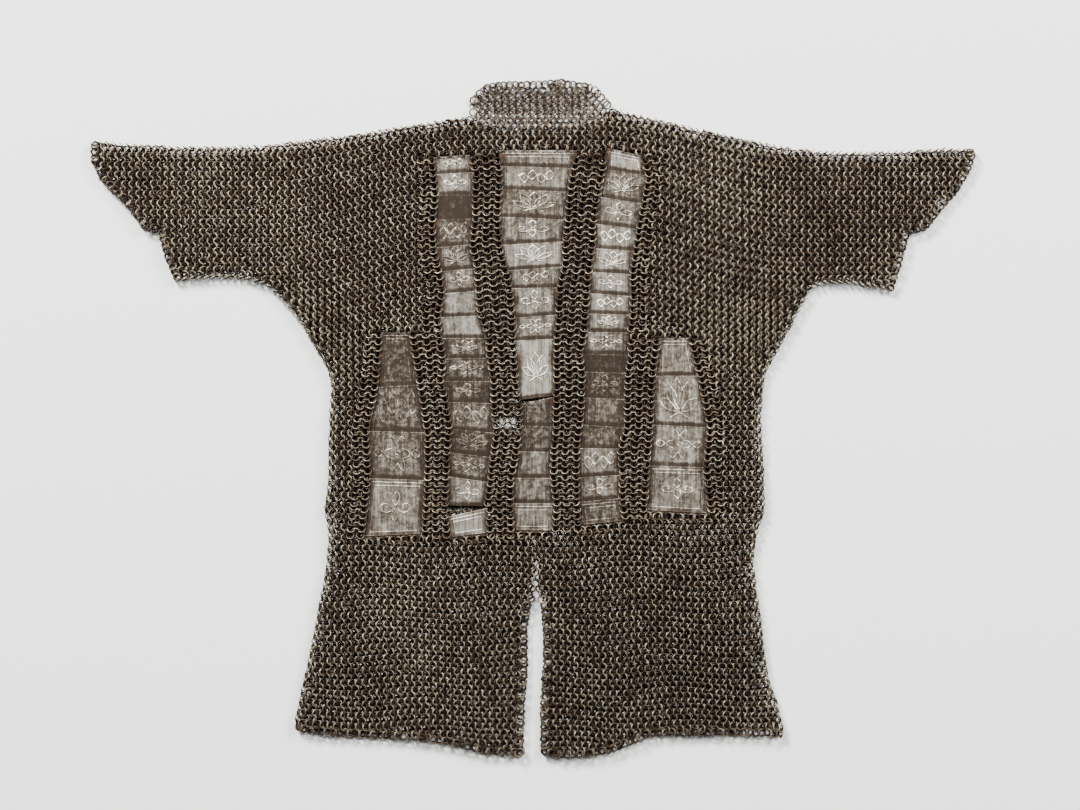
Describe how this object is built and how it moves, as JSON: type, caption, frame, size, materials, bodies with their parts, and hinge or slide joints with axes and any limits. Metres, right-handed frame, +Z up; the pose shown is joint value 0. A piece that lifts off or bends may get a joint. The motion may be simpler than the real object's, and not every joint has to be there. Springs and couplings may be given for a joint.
{
  "type": "mail and plate shirt",
  "caption": "Mail shirt laid flat with its back up, short sleeves, standing collar, riding slit and columns of lapped steel plates linked into the mail.",
  "frame": {"origin": "middle of the laid-out shirt's footprint, on the surface it lies on", "axes": "+X across the shirt toward its right sleeve, +Y from hem to neck, +Z up out of the back"},
  "size_m": [1.0138, 0.7788, 0.0119],
  "materials": {
    "mail": "dark brown patina on iron wire, worn bright on the crowns",
    "plate": "worn grey steel with brown patina at the edges"
  },
  "bodies": {
    "root": {"back_mail": "mail", "front_left_mail": "mail", "front_right_mail": "mail", "left_sleeve": "mail", "right_sleeve": "mail", "collar": "mail", "spine_plate_01": "plate", "spine_plate_02": "plate", "spine_plate_03": "plate", "spine_plate_04": "plate", "spine_plate_05": "plate", "spine_plate_06": "plate", "spine_plate_07": "plate", "spine_plate_08": "plate", "spine_plate_09": "plate", "spine_plate_10": "plate", "spine_plate_11": "plate", "spine_plate_12": "plate", "spine_plate_13": "plate", "spine_plate_14": "plate", "left_inner_plate_01": "plate", "left_inner_plate_02": "plate", "left_inner_plate_03": "plate", "left_inner_plate_04": "plate", "left_inner_plate_05": "plate", "left_inner_plate_06": "plate", "left_inner_plate_07": "plate", "left_inner_plate_08": "plate", "left_inner_plate_09": "plate", "left_inner_plate_10": "plate", "left_inner_plate_11": "plate", "left_inner_plate_12": "plate", "left_inner_plate_13": "plate", "left_inner_plate_14": "plate", "left_inner_plate_15": "plate", "left_inner_plate_16": "plate", "right_inner_plate_01": "plate", "right_inner_plate_02": "plate", "right_inner_plate_03": "plate", "right_inner_plate_04": "plate", "right_inner_plate_05": "plate", "right_inner_plate_06": "plate", "right_inner_plate_07": "plate", "right_inner_plate_08": "plate", "right_inner_plate_09": "plate", "right_inner_plate_10": "plate", "right_inner_plate_11": "plate", "right_inner_plate_12": "plate", "right_inner_plate_13": "plate", "right_inner_plate_14": "plate", "right_inner_plate_15": "plate", "right_inner_plate_16": "plate", "left_side_plate_1": "plate", "left_side_plate_2": "plate", "left_side_plate_3": "plate", "left_side_plate_4": "plate", "right_side_plate_1": "plate", "right_side_plate_2": "plate", "right_side_plate_3": "plate", "right_side_plate_4": "plate"}
  },
  "joints": []
}
